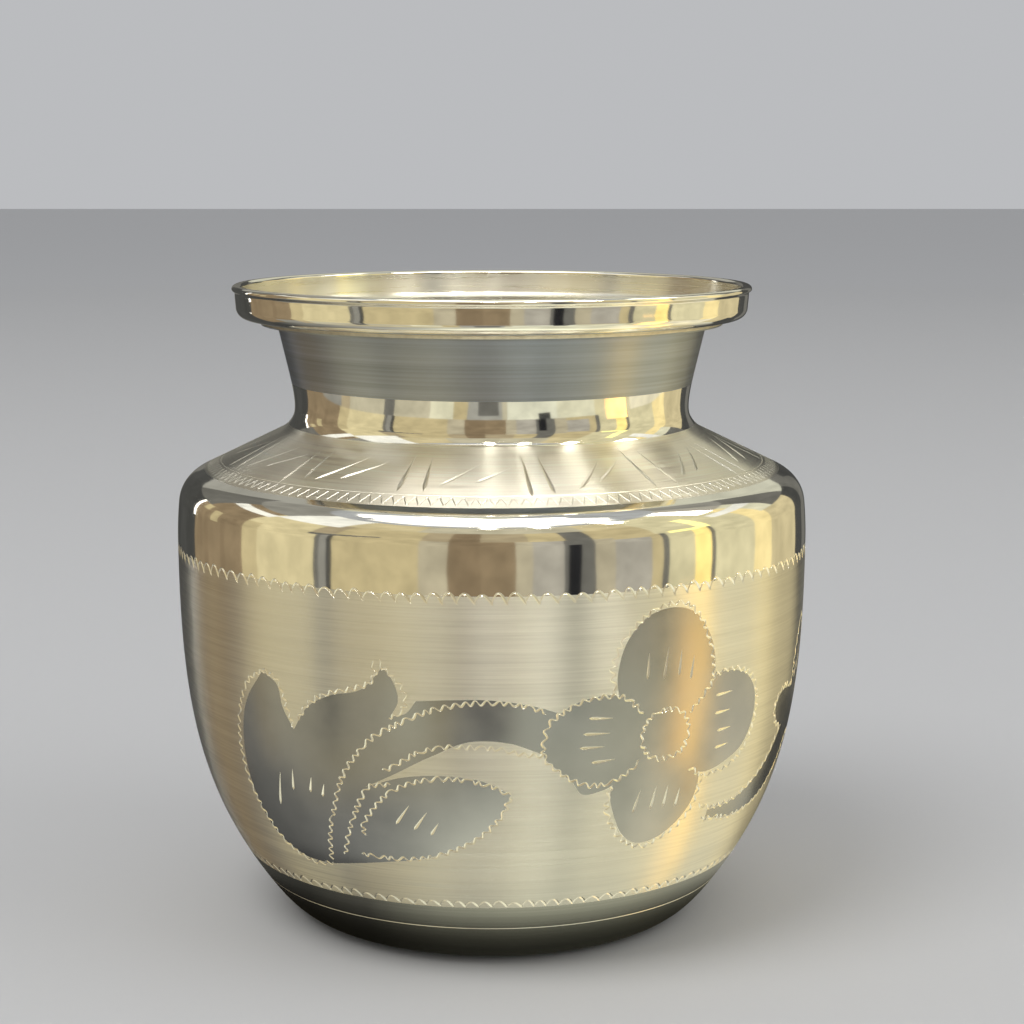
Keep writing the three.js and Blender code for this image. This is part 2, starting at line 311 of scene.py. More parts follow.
class Skin:
    """The outside of a shell, meshed in a plane ring where distance from the middle stands for length
    along the outline, so that outlines and cuts become edges of the mesh."""

    def __init__(self, curves, ring_scale):
        points, normals = (np.concatenate(parts) for parts in zip(*(trace(curve, 240) for curve in curves)))
        steps = np.linalg.norm(np.diff(points, axis=0), axis=1)
        keep = np.concatenate([[True], steps > 1e-9])
        self.along = np.concatenate([[0], np.cumsum(steps)])[keep]
        self.points, self.normals, self.scale = points[keep], normals[keep], ring_scale

    def read(self, along, table):
        return np.interp(along, self.along, table)

    def radius(self, along):
        return self.read(along, self.points[:, 0])

    def height(self, along):
        return self.read(along, self.points[:, 1])

    def along_at_height(self, height):
        return np.interp(height, self.points[:, 1], self.along)

    def along_at_radius(self, radius):
        return np.interp(-np.asarray(radius), -self.points[:, 0], self.along)

    def to_plane(self, azimuth, along):
        reach_out, angle = np.exp(np.asarray(along) / self.scale), np.radians(azimuth)
        return np.stack([reach_out * np.cos(angle), reach_out * np.sin(angle)], -1)

    def from_plane(self, plane):
        azimuth = np.degrees(np.arctan2(plane[:, 1], plane[:, 0]))
        return azimuth, self.scale * np.log(np.linalg.norm(plane, axis=1))

    def place(self, azimuth, along, depth):
        flat = around(azimuth, self.radius(along), self.height(along))
        return flat - self.shade(azimuth, along) * depth[:, None]

    def shade(self, azimuth, along):
        r, z = self.read(along, self.normals[:, 0]), self.read(along, self.normals[:, 1])
        length = np.hypot(r, z)
        return around(azimuth, r / length, z / length)

    def mesh(self, rows, outlines, grooves, finish):
        """Corner points, normals and finishes of facets that follow the rows, closed outlines and cuts."""
        start = np.concatenate([line[:-1] for line in grooves])
        end = np.concatenate([line[1:] for line in grooves])
        centre = (start + end) / 2
        tree = kdtree.KDTree(len(centre))
        for index, place in enumerate(self.to_plane(centre[:, 0], centre[:, 1])):
            tree.insert((*place, 0), index)
        tree.balance()

        def cut_share(azimuth, along):
            """How far into a cut each place lies, from 0 outside to 1 at the bottom, and how deep that is."""
            places = self.to_plane(azimuth, along)
            near = np.array([[hit[1] for hit in tree.find_n((*place, 0), NEAREST_CUTS)] for place in places])
            local = self.radius(along)[:, None] * math.pi / 180

            def offset(ends):
                turn = (ends[near, 0] - azimuth[:, None] + 180) % 360 - 180
                return np.stack([turn * local, ends[near, 1] - along[:, None]], -1)

            a, b = offset(start), offset(end)
            way = b - a
            share = np.clip(-(a * way).sum(-1) / np.maximum((way * way).sum(-1), 1e-12), 0, 1)
            distance = np.linalg.norm(a + way * share[..., None], axis=-1)
            width = start[near, 2] + (end[near, 2] - start[near, 2]) * share
            depth = start[near, 3] + (end[near, 3] - start[near, 3]) * share
            inside = np.clip(1 - distance / np.maximum(width, 1e-6), 0, 1)
            return inside.max(1), (inside * depth).max(1)

        turn = np.arange(COLUMNS) * 360 / COLUMNS
        grid = np.stack(np.meshgrid(rows, turn, indexing="ij"), -1).reshape(-1, 2)[:, ::-1]
        rim = np.isin(grid[:, 1], (rows[0], rows[-1]))
        grid = np.concatenate([grid[rim], grid[~rim & self.clear_of(grid, tree, centre)]])
        points, edges, count = [grid], [], len(grid)
        lines = [(line, True) for line in outlines]
        lines += [(self.beside(line, side), False) for line in grooves for side in (-1, 0, 1)]
        for line, closed in lines:
            points.append(line)
            order = list(range(count, count + len(line)))
            edges += zip(order, order[1:] + order[:1] if closed else order[1:])
            count += len(line)
        points = np.concatenate(points)
        corners_given = [Vector(place) for place in self.to_plane(points[:, 0], points[:, 1])]
        made = delaunay_2d_cdt(corners_given, edges, [], 0, 1e-7)
        plane, facets = np.array([tuple(v) for v in made[0]]), np.array(made[2])
        azimuth, along = self.from_plane(plane)
        source = np.array([ids[0] if ids else -1 for ids in made[3]])
        known = source >= 0
        azimuth[known], along[known] = points[source[known]].T
        on_inner = known & (source < 2 * COLUMNS) & (along < rows[0] + 1e-6)
        facets = facets[~on_inner[facets].all(1)][:, ::-1]

        depth, cut = np.zeros(len(azimuth)), np.zeros(len(facets), bool)
        touched = ~known | (source >= len(grid))
        depth[touched] = cut_share(azimuth[touched], along[touched])[1]
        near = touched[facets].any(1)
        cut[near] = cut_share(*self.from_plane(plane[facets[near]].mean(1)))[0] > CUT_STARTS_AT
        corners = self.place(azimuth, along, depth)[facets]
        shades = self.shade(azimuth, along)[facets]
        flat = np.cross(corners[:, 1] - corners[:, 0], corners[:, 2] - corners[:, 0])
        size = np.linalg.norm(flat, axis=1)
        shades[cut] = (flat[cut] / np.maximum(size[cut], 1e-12)[:, None])[:, None]
        kinds = finish(*self.from_plane(plane[facets].mean(1)), cut)
        kept = size > 1e-9
        return corners[kept], shades[kept], kinds[kept]

    def clear_of(self, grid, tree, centre):
        """Which points of the plain grid lie clear of all cuts."""
        clear = np.ones(len(grid), bool)
        for index, place in enumerate(self.to_plane(grid[:, 0], grid[:, 1])):
            hit = tree.find((*place, 0))
            gap = hit[2] * self.scale / math.hypot(*place)
            clear[index] = gap > centre[hit[1], 2] + GRID_CLEARANCE
        return clear

    def beside(self, line, side):
        """One edge of a cut, or its middle line for side 0."""
        azimuth, along, half, _ = line.T
        local = self.radius(along) * math.pi / 180
        way = np.stack([np.gradient(azimuth) * local, np.gradient(along)], 1)
        way /= np.maximum(np.linalg.norm(way, axis=1), 1e-9)[:, None]
        shift = half * side
        return np.stack([azimuth - way[:, 1] * shift / local, along + way[:, 0] * shift], 1)


def placed(name, data):
    piece = bpy.data.objects.new(name, data)
    scene.collection.objects.link(piece)
    return piece


def welded(name, parts, finishes, slot, *replaced):
    """One mesh object from facet parts, its equal corners welded."""
    vertices = np.concatenate([corners.reshape(-1, 3) for corners, _, _ in parts])
    shades = np.concatenate([normals.reshape(-1, 3) for _, normals, _ in parts])
    _, first, merged = np.unique(
        np.round(vertices, WELD_DECIMALS), axis=0, return_index=True, return_inverse=True
    )
    merged = merged.ravel()
    faces, kept_indices, kept_corners = [], [], []
    corner = 0
    for corners, _, finish in parts:
        sides = corners.shape[1]
        for index in finish:
            ids = merged[corner:corner + sides]
            distinct = [k for k in range(sides) if ids[k] != ids[k - 1]]
            if len(distinct) > 2:
                faces.append([int(ids[k]) for k in distinct])
                kept_corners += [corner + k for k in distinct]
                kept_indices.append(index)
            corner += sides
    mesh = bpy.data.meshes.new(name)
    mesh.from_pydata((vertices[first] * MM).tolist(), [], faces)
    mesh.polygons.foreach_set("material_index", np.array(kept_indices, np.int32))
    mesh.polygons.foreach_set("use_smooth", np.ones(len(faces), bool))
    for material in finishes:
        mesh.materials.append(material)
    mesh.normals_split_custom_set(shades[kept_corners].tolist())
    mesh.update()
    piece = placed(name, mesh)
    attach(piece, "root")
    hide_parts(*replaced)


# Engraving. Places on the bowl are (azimuth, height), and on the cone (azimuth, radius).
CHANCE = np.random.default_rng(7)


def smooth(knots, step=0.15, closed=False):
    """A smooth line through a few given knots, in even steps of about step millimetres."""
    scale = np.array([BELLY_RADIUS * math.pi / 180, 1])
    p = np.reshape(knots, (-1, 2)) * scale
    before, after = (p[-1:], p[:2]) if closed else ([2 * p[0] - p[1]], [2 * p[-1] - p[-2]])
    p = np.concatenate([before, p, after])
    gap = np.linalg.norm(np.diff(p, axis=0), axis=1)[:, None]
    slope = np.diff(p, axis=0) / gap
    way = (slope[:-1] * gap[1:] + slope[1:] * gap[:-1]) / (gap[:-1] + gap[1:])
    t = np.linspace(0, 1, 24, endpoint=False)[:, None]
    line = []
    for i in range(len(way) - 1):
        a, b, m, n, d = p[i + 1], p[i + 2], way[i], way[i + 1], gap[i + 1]
        line.append(a + (b - a) * t * t * (3 - 2 * t) + d * (m * t * (1 - t) ** 2 - n * t * t * (1 - t)))
    line = np.concatenate([*line, p[-2:-1]])
    along = np.concatenate([[0], np.cumsum(np.linalg.norm(np.diff(line, axis=0), axis=1))])
    even = np.linspace(0, along[-1], max(3, round(along[-1] / step)) + 1)
    return np.stack([np.interp(even, along, line[:, k]) for k in (0, 1)], 1) / scale


def drift(count, spread):
    """A slowly wandering value, as of a hand."""
    knots = CHANCE.normal(0, spread, count // 9 + 3)
    return np.interp(np.arange(count) / 9, np.arange(len(knots)), knots)


def wriggle(grooves, skin, azimuth, along, pitch, swing, half, depth):
    """A wriggled line: the graver walks along the path, rocking from side to side."""
    local = skin.radius(along) * math.pi / 180
    steps = np.hypot(np.diff(azimuth) * local[1:], np.diff(along))
    walked = np.concatenate([[0], np.cumsum(steps)])
    even = np.arange(0, walked[-1], pitch / 11)
    azimuth, along = np.interp(even, walked, azimuth), np.interp(even, walked, along)
    local = skin.radius(along) * math.pi / 180
    way = np.stack([np.gradient(azimuth) * local, np.gradient(along)], 1)
    way /= np.linalg.norm(way, axis=1)[:, None]
    phase = 2 * math.pi * (even / pitch + drift(len(even), 0.16))
    side = swing / 2 * np.sin(phase) * (1 + drift(len(even), 0.14))
    press = np.clip(1 + 0.3 * np.cos(phase + 0.6) + drift(len(even), 0.12), 0.45, 1.5)
    grooves.cut(azimuth - way[:, 1] * side / local, along + way[:, 0] * side, half * press, depth * press)


def scallops(grooves, foot, rise, count, half, depth, lean):
    """A ring of arched cuts, each heavier on its falling side."""
    widths = 1 + CHANCE.uniform(-0.16, 0.16, count)
    starts = np.concatenate([[0], np.cumsum(widths)]) * 360 / widths.sum()
    t = np.linspace(0, 1, 15)
    arch = np.sin(math.pi * t**lean) ** 0.9
    press = np.clip(0.45 + 0.9 * t, 0, 1.15) * np.clip((1.04 - t) * 12, 0.2, 1)
    entry = np.clip(t * 20, 0.25, 1)
    for a, b in zip(starts[:-1], starts[1:]):
        tall = rise * CHANCE.uniform(0.85, 1.12)
        low = foot + CHANCE.uniform(-0.06, 0.06)
        grooves.cut(a + (b - a) * t * 1.06, low + tall * arch, half * press * entry, depth * press * entry)


def tick(grooves, start, end, along, half, depth):
    """One straight cut, deepest near its start and lifting out at its end."""
    t = np.linspace(0, 1, 26)
    press = np.clip(t * 9, 0.15, 1) * np.clip((1 - t) ** 0.7 * 1.25, 0.12, 1)
    line = np.array(start) + (np.array(end) - np.array(start)) * t[:, None]
    grooves.cut(line[:, 0], along(line[:, 1]), half * press, depth * press)


def turned_line(grooves, along, half, depth):
    azimuth = np.linspace(0, 360, COLUMNS * 2 + 1)
    grooves.cut(azimuth, along, half, depth)


# The graver's settings: lengths in millimetres, and a border's number of arches
FINE_WRIGGLE = {"pitch": 1.3, "swing": 0.55, "half": 0.12, "depth": 0.08}
RING_WRIGGLE = {"pitch": 1.15, "swing": 0.5, "half": 0.12, "depth": 0.08}
BOLD_WRIGGLE = {"pitch": 1.35, "swing": 0.6, "half": 0.15, "depth": 0.12}
TOP_SCALLOPS = {"rise": 1.34, "count": 135, "half": 0.155, "depth": 0.125, "lean": 0.8}
LOW_SCALLOPS = {"rise": 1.05, "count": 124, "half": 0.17, "depth": 0.09, "lean": 0.9}
SPRAY_TICK = {"half": 0.19, "depth": 0.12}
CONE_TICK = {"half": 0.27, "depth": 0.09}
ZIGZAG = {"radius": 38.15, "swing": 0.68, "count": 157, "half": 0.09, "depth": 0.031}

# Every line of the spray lists azimuth and height in turn.
# Dull areas: rings of smooth stretches, each of which ends in the corner where the next begins
LEAF_GROUP = (
    [-42.3, 39.9, -38.9, 38.5, -38, 35.8],
    [-35.8, 33, -32.2, 36.5, -27.9, 38.2, -21.8, 39.5],
    [-18, 42.5, -16.4, 41, -15.5, 38.2],
    [-16.8, 36.4, -14.3, 36.8],
    [-12.4, 38.5, -6, 38.8, 0, 38.8, 6.2, 38.1],
    [12, 36.8],
    [12, 31, 8.9, 31.7, 3, 33.3, -3.6, 33.5, -10.3, 31.4, -17.5, 28.5],
    [-22.3, 26.7, -15, 28.5, -6.6, 28.9, -1.4, 28.3],
    [3.3, 26.6, 1.2, 23.1, -4.3, 19.8, -11.6, 17.5, -20.9, 16.2],
    [-33.6, 14.6, -40, 15, -46.4, 17.9, -49.4, 23.5, -49.6, 29.4, -47.5, 35],
)
PETALS = (
    [21.1, 39.5, 21.2, 42.5, 23.1, 46, 26.6, 48.4, 30.8, 49.1, 35.3, 48.3, 39, 45.3, 40.7, 41, 39.5, 37,
     35, 34, 28, 34, 23, 36.5],
    [13.9, 27.8, 15.6, 26.2, 19, 26.4, 24, 28.5, 27.5, 32, 26.5, 35.5, 22, 38.5, 16.7, 38.7, 11.8, 37.2,
     8.9, 34.6, 8.8, 31.4, 11.5, 29.4],
    [37, 36, 41.2, 39.5, 45, 39.7, 49.5, 38.6, 52.5, 36, 52.9, 32.8, 50.6, 29.2, 46, 27.5, 40, 26.8,
     35, 28.5, 34, 32],
    [23, 29.5, 20.9, 26, 22.2, 22.6, 24.3, 20, 27.5, 18.4, 31, 18.4, 35.8, 20.2, 38.8, 23, 39.4, 26.5,
     37, 30, 30, 32],
)
SPRIG = (
    [44, 20.9, 50, 21, 57, 22.4, 63, 25, 67.5, 28.6, 70.5, 33, 72, 38],
    [77, 42.5, 80.5, 38, 80.5, 34],
    [78.5, 31.5, 84, 34.5, 91, 35.2],
    [98, 33, 95, 28.5, 88, 25.8, 80, 26.5],
    [75, 27, 71, 22.8, 65, 20, 57, 18.8, 50, 18.9],
    [44, 19.9],
)
BUD = [66.8, 29, 63.6, 30.4, 62.4, 32.2, 64, 33.6, 68, 34, 71.5, 33, 70.5, 29.5]

# The wriggled lines, drawn freely along and across those areas
WRIGGLES = (
    [-32.8, 14.8, -37, 14.3, -41.6, 15.2, -44.4, 16.5, -47.4, 19.4, -49.7, 23, -50.7, 27, -50.5, 31,
     -48.6, 35.5, -45.6, 38.6, -42.1, 40],
    [-42.1, 40, -39.3, 39.4, -37.7, 37.4, -36.8, 35.3, -35.8, 33.4],
    [-34.6, 34.6, -32.5, 36.6, -28.5, 38.4, -23.4, 39.5, -20, 40.7, -19.3, 41.8, -19.9, 43],
    [-18.8, 43.3, -17.6, 42.3, -15.9, 41.1, -14.4, 39.5, -14.2, 38, -15.4, 36.8, -17.2, 36.1],
    [-32.7, 15.4, -31.2, 19.5, -29.2, 23.2, -26.7, 27.6, -23.5, 30.9, -19.9, 33.6, -16, 35.3, -12, 36.8,
     -8.5, 37.7, -4.5, 38.3, 0, 38.5, 4.5, 38.2, 8.7, 37.3],
    [-28.9, 16.6, -27.5, 19.2, -25.6, 22, -23.1, 25.4, -22, 26.6, -17.6, 27.4],
    [-18.6, 29.1, -15.4, 30.5, -12.7, 31.8, -9, 32.6, -3.1, 32.8, 1.9, 32.5, 5, 31.9, 8.5, 31.6],
    [-23.9, 20, -23.5, 21.6, -21.9, 23.2, -19.3, 25.4, -16.3, 27, -12, 28.2, -7, 28.6, -2.7, 28.2, 0, 27.7,
     3.3, 26.5],
    [3.2, 26.2, 2.2, 24.2, -1.2, 21.2, -6.3, 18.9, -13, 17.3, -20, 16.9, -25.3, 17],
    [20.6, 39.2, 20.1, 42.6, 21.5, 45, 23.7, 47, 26.6, 48.7, 30, 49.6, 34.1, 49.3, 36.9, 47.5, 38.8, 44.9,
     40.3, 41.5, 40.4, 39, 38.4, 37.2, 35.4, 35.3],
    [26, 36.2, 24.1, 37.4, 22, 38.5, 19, 38.7, 16, 38.5, 13.5, 37.8, 11.5, 36.9, 9.6, 35.8, 8.8, 34,
     8.9, 31.2, 11.3, 29.4, 14.2, 28, 16.8, 27.3, 19.6, 27.3, 22.4, 27.9, 26, 29.8],
    [40.8, 39.6, 44.4, 39.9, 48.6, 39.3, 51.4, 38, 53.2, 35.8, 53.4, 32, 51, 28.4, 47.5, 26.8, 43.7, 26.3,
     40.2, 26.3, 37, 27.7],
    [20.9, 26.8, 20.4, 24.4, 22, 21.4, 24, 19.6, 26.7, 18.2, 29.6, 17.7, 33, 18.6, 37, 20.1, 39.3, 22.5,
     40, 25.6],
)
# The side sprig's lines are heavier
SPRIG_WRIGGLES = (
    [41, 21.9, 44.5, 21.3, 50, 21.2, 56.7, 22.6, 62.3, 25, 66.5, 28.6],
    [43, 19.7, 46, 19.5, 51, 18.8, 57.8, 18.8, 65.2, 20, 71.2, 23, 75.1, 26.8],
    [66.6, 28.8, 63, 30.2, 61.8, 32.2, 63.8, 34, 68.5, 34.4, 70.8, 34, 72, 38, 77, 42.8, 80.8, 38.2,
     80.6, 34.4, 79, 32],
    [79.2, 32.2, 84, 35, 91, 35.7, 98.5, 33, 95.4, 28.2, 88.2, 25.3, 80, 26, 75.4, 26.5],
)
CENTRE_RING = [30.8, 36.2, 34.4, 35.2, 35.6, 33, 34.6, 30.6, 31, 29.7, 27.6, 30.4, 26, 32.8, 27.2, 35.2]
TICKS = (
    (-42.2, 22, -40.5, 26.7), (-37.9, 24.6, -37.3, 27.5), (-33.9, 24.8, -33.2, 26.9),
    (-31.3, 24.5, -30.6, 26.3), (-17.2, 22, -14.5, 24.7), (-13.9, 21.4, -11.4, 23.9),
    (-10.9, 20.8, -9.4, 22.5), (26.5, 40.4, 26.7, 43.7), (29.7, 40.2, 30.4, 44.1), (32.7, 40.3, 33.1, 43.6),
    (35.2, 39.6, 35.8, 42.6), (16.2, 36.1, 20.4, 35.9), (15.3, 34.1, 20, 34), (14.8, 32.3, 19.1, 32.3),
    (17, 30.3, 21.2, 30.5), (41.4, 36.8, 45.6, 36.9), (41.5, 34.4, 45.5, 34.5), (42.6, 32, 46.1, 32.1),
    (42.5, 29.7, 45.9, 29.9), (25.8, 22.8, 26.8, 25.9), (29.4, 22.9, 30, 26.1), (32.1, 23, 32.5, 25.9),
    (34.9, 22.7, 35.3, 25.2), (75.6, 35, 76.6, 38.6), (73.6, 34.4, 73.9, 36.8), (85, 29.5, 89, 30.6),
    (84.6, 31.4, 88, 32.6),
)
REPEATS = (0, 180)

# The cone's cuts: two nearly radial ones, then two slanting ones
CUT_STARTS = (-70.5, -44.6, -16.7, 10.4, 37.2, 61.9, 87.2, 112.5, 137.8, 163.1, 188.4, 213.7, 239, 264.2)
RADIAL_CUTS = ((-2.6, 36.7, -2.9, 29.2), (2.6, 36.5, 1.6, 28.7))
SLANTED_CUTS = ((6.0, 35.4, 14.4, 30.2), (12.4, 34.9, 20.6, 30.8))


def in_ring(azimuth, along, ring):
    """Whether each place lies inside a closed line."""
    result = np.zeros(len(azimuth), bool)
    lowest, highest = ring.min(0), ring.max(0)
    turn = (azimuth - lowest[0]) % 360 + lowest[0]
    near = np.flatnonzero((turn <= highest[0]) & (along >= lowest[1]) & (along <= highest[1]))
    x, y = turn[near], along[near]
    odd = np.zeros(len(near), bool)
    for (ax, ay), (bx, by) in zip(ring, np.roll(ring, -1, 0)):
        crosses = (ay > y) != (by > y)
        if crosses.any():
            odd[crosses] ^= x[crosses] < ax + (y[crosses] - ay) * (bx - ax) / (by - ay)
    result[near] = odd
    return result


# Finishes
LINEN = (0.92, 0.91, 0.87)


def fill(material, target, inputs):
    """Sets a node's inputs to constants, or links them to outputs of other nodes."""
    for socket, value in inputs.items():
        if isinstance(value, bpy.types.NodeSocket):
            material.node_tree.links.new(value, target.inputs[socket])
        else:
            target.inputs[socket].default_value = value


def surface(material, inputs):
    fill(material, material.node_tree.nodes["Principled BSDF"], inputs)


def node(material, kind, inputs, **settings):
    """A new shader node. Its settings are made before its inputs, which may depend on them."""
    made = material.node_tree.nodes.new("ShaderNode" + kind)
    for name, value in settings.items():
        setattr(made, name, value)
    fill(material, made, inputs)
    return made


def new_material(name):
    material = bpy.data.materials.new(name)
    material.use_nodes = True
    return material


def metal(name, colour, roughness, anisotropic=0.0):
    """A bare metal. Brushed ones spread their highlights across the brushing, which runs round the axis."""
    material = new_material(name)
    surface(material, {"Base Color": (*colour, 1), "Metallic": 1, "Roughness": roughness})
    if anisotropic:
        tangent = node(material, "Tangent", {}, direction_type="RADIAL", axis="Z").outputs[0]
        surface(material, {"Tangent": tangent, "Anisotropic": anisotropic, "Anisotropic Rotation": 0.25})
    return material


def noise(material, scale, detail=2.0, roughness=0.5):
    """Noise over the object, its grain per metre in x, y and z. Grain finer in z runs round the axis."""
    place = node(material, "TexCoord", {}).outputs["Object"]
    stretched = node(material, "Mapping", {"Vector": place, "Scale": scale}).outputs["Vector"]
    grain = {"Vector": stretched, "Scale": 1, "Detail": detail, "Roughness": roughness}
    return node(material, "TexNoise", grain).outputs["Fac"]


def ranged(material, value, low, high):
    """Noise spread over a range, with the ends cut off."""
    limits = {"Value": value, "From Min": 0.3, "From Max": 0.7, "To Min": low, "To Max": high}
    return node(material, "MapRange", limits).outputs["Result"]


def added(material, *values):
    """The sum of several values."""
    total = values[0]
    for value in values[1:]:
        total = node(material, "Math", {0: total, 1: value}).outputs[0]
    return total


def tint(material, value, dark, light):
    """Colours the surface between two tones."""
    mix = node(material, "Mix", {"Factor": value, "A": (*dark, 1), "B": (*light, 1)}, data_type="RGBA")
    surface(material, {"Base Color": mix.outputs["Result"]})


def relief(material, value, height, strength=1.0):
    """Fine relief, height in millimetres."""
    bump = node(material, "Bump", {"Height": value, "Distance": height * MM, "Strength": strength})
    surface(material, {"Normal": bump.outputs["Normal"]})


def shaded(colour, factor):
    return tuple(c * factor for c in colour)


def brushed(name, colour, roughness, grain=(60, 60, 4200), contrast=0.15, pull=1.0):
    """Brushed round the axis: fine streaks, longer scratches and broad turning bands."""
    material = metal(name, colour, roughness, pull)
    fine = noise(material, grain, 3, 0.6)
    coarse = noise(material, (grain[0] / 3, grain[1] / 3, grain[2] / 4), 2)
    bands = noise(material, (2, 2, grain[2] / 9), 1)
    tone = added(material, ranged(material, fine, 0, 0.6), ranged(material, coarse, 0, 0.25),
                 ranged(material, bands, 0, 0.15))
    tint(material, tone, shaded(colour, 1 - contrast), shaded(colour, 1 + contrast))
    surface(material, {"Roughness": ranged(material, fine, roughness - 0.06, roughness + 0.06)})
    relief(material, added(material, fine, coarse), 0.008, 0.6)
    return material


BRUSHED = brushed("brushed_metal", LINEN, 0.41)
# The cone's metal is a lighter copy of the body metal: painted light on the upward-facing shoulder.
LIT_CONE_METAL = brushed("brushed_cone_painted_light", (0.99, 0.955, 0.88), 0.34, (60, 60, 7000), 0.12)
# The neck's metal is a darker, bluish copy of the body metal: painted shade and a painted blue reflection.
SHADED_BLUE_NECK_METAL = brushed("brushed_neck_painted_shade", (0.425, 0.47, 0.565), 0.45, (24, 24, 3600), 0.24, 0.8)
INSIDE = brushed("brushed_inside", (0.74, 0.72, 0.66), 0.42, (40, 40, 3000), 0.08)
SHEEN = brushed("mouth_sheen", LINEN, 0.30, (60, 60, 3000), 0.05)

MIRROR = metal("mirror_polish", (0.88, 0.87, 0.83), 0.065)
relief(MIRROR, noise(MIRROR, (120, 120, 170), 1), 0.05, 0.7)

# The dull spray is a real finish; its darker grey colour is painted shade.
DARKENED_SATIN = metal("satin_ground_painted_shade", (0.41, 0.42, 0.44), 0.24)
cloud = noise(DARKENED_SATIN, (220, 220, 260), 3)
tint(DARKENED_SATIN, ranged(DARKENED_SATIN, cloud, 0, 1), (0.385, 0.395, 0.415), (0.435, 0.445, 0.47))
surface(DARKENED_SATIN, {"Roughness": ranged(DARKENED_SATIN, cloud, 0.21, 0.27)})
relief(DARKENED_SATIN, noise(DARKENED_SATIN, (9000, 9000, 9000), 2), 0.004, 0.4)

CUT = metal("bright_cut", (1.0, 0.98, 0.92), 0.34)

# The base's metal is a darker copy of the body metal with real turning rings: painted shade for the dark
# table it mirrors and the shadow round the foot.
SHADED_BASE_METAL = metal("turned_base_painted_shade", (0.50, 0.505, 0.475), 0.25, 0.8)
rings = noise(SHADED_BASE_METAL, (3, 3, 2600), 2)
tint(SHADED_BASE_METAL, ranged(SHADED_BASE_METAL, rings, 0, 1), (0.44, 0.445, 0.415), (0.54, 0.545, 0.515))
relief(SHADED_BASE_METAL, rings, 0.01, 0.5)

SOLDER = metal("filed_solder", (0.68, 0.64, 0.55), 0.45)
lumps = noise(SOLDER, (900, 900, 900), 3)
tint(SOLDER, ranged(SOLDER, lumps, 0, 1), (0.58, 0.54, 0.46), (0.74, 0.70, 0.60))
relief(SOLDER, lumps, 0.08)


# Base: a flat standing ring round a dished middle, a full heel, and a rim that reaches up inside the bowl
def bend(start, middle, end):
    """A stretch drawn towards one middle point."""
    return Sweep(start, (middle - start) * 2 / 3, 1, end, (end - middle) * 2 / 3, 1)


def foot_height(curve, depth):
    """Where a sunk curve begins."""
    return trace(curve, 0, depth, 0, 0)[0][0, 1]


def without_ends(stretch):
    return tuple(part[1:-1] for part in stretch)


OUTER, INNER = range(2)
ring_inner = FOOT_RADIUS - FOOT_RING_WIDTH
dish = bend(at(0, DISH_RISE), at(ring_inner * 0.55, DISH_RISE), at(ring_inner, 0))
floor_of_pan = bend(at(FOOT_RADIUS, WALL), at(ring_inner * 0.9, WALL), at(0, DISH_RISE + WALL))
base_outside = turned([trace(dish, 14), trace(heel, 30)], OUTER)
base_inside = turned([
    corner_at(*base_rim),
    between(belly, 4, lap_outer, BASE_HEIGHT, base_lap_top),
    back(between(belly, 4, lap_inner, foot_height(belly, lap_inner), base_lap_top)),
    back(without_ends(trace(heel, 16, (WALL, lap_inner)))),
    trace(floor_of_pan, 14),
], INNER)
welded("turned_base", [base_outside, base_inside], [SHADED_BASE_METAL, INSIDE], "satin_base", "base_pan")

# Bowl: dull spray and wriggled outlines on a brushed ground, between two rings of scallops
GROUND, DULL, BRIGHT, POLISHED, TURNED_SHADED_BASE, WITHIN = range(6)
TOP_BORDER = 51.65  # between the brushed ground and the polished band
LOW_BORDER = 9.9  # between the brushed ground and the base, painted darker for shade
TOP_SCALLOPS_FOOT = 50.63
LOW_SCALLOPS_FOOT = 10.0
JOINT_LINE = 6.35  # height of the turned line at the joint with the base
BOWL_ROWS = 54
DULL_STEP = 0.3  # between the points of the dull areas' outlines
bowl_skin = Skin([belly], ring_scale=40)
bowl_along = bowl_skin.along_at_height


def on_bowl(line, turn=0):
    return line[:, 0] + turn, bowl_along(line[:, 1])


def ring_of(stretches):
    """A closed line of smooth stretches that meet in corners."""
    nexts = stretches[1:] + stretches[:1]
    return np.concatenate([smooth(a + b[:2], DULL_STEP)[:-1] for a, b in zip(stretches, nexts)])


dull_shapes = [ring_of(LEAF_GROUP), ring_of(SPRIG)]
dull_shapes += [smooth(loop, DULL_STEP, closed=True)[:-1] for loop in (*PETALS, CENTRE_RING, BUD)]
dull_rings = [ring + (turn, 0) for turn in REPEATS for ring in dull_shapes]

bowl_cuts = Grooves()
for turn in REPEATS:
    for path in WRIGGLES:
        wriggle(bowl_cuts, bowl_skin, *on_bowl(smooth(path), turn), **FINE_WRIGGLE)
    for path in SPRIG_WRIGGLES:
        wriggle(bowl_cuts, bowl_skin, *on_bowl(smooth(path), turn), **BOLD_WRIGGLE)
    wriggle(bowl_cuts, bowl_skin, *on_bowl(smooth(CENTRE_RING, closed=True), turn), **RING_WRIGGLE)
    for a, low, b, high in TICKS:
        tick(bowl_cuts, (a + turn, low), (b + turn, high), bowl_along, **SPRAY_TICK)
scallops(bowl_cuts, bowl_along(TOP_SCALLOPS_FOOT), **TOP_SCALLOPS)
scallops(bowl_cuts, bowl_along(LOW_SCALLOPS_FOOT), **LOW_SCALLOPS)
turned_line(bowl_cuts, bowl_along(JOINT_LINE), half=0.07, depth=0.05)


def bowl_finish(azimuth, along, cut):
    height = bowl_skin.height(along)
    kinds = np.full(len(azimuth), GROUND)
    for ring in dull_rings:
        kinds[in_ring(azimuth, height, ring)] = DULL
    kinds[height < LOW_BORDER] = TURNED_SHADED_BASE
    kinds[height > TOP_BORDER] = POLISHED
    kinds[cut] = BRIGHT
    return kinds


def level_ring(along):
    return np.stack([np.arange(COLUMNS) * 360 / COLUMNS, np.full(COLUMNS, along)], 1)


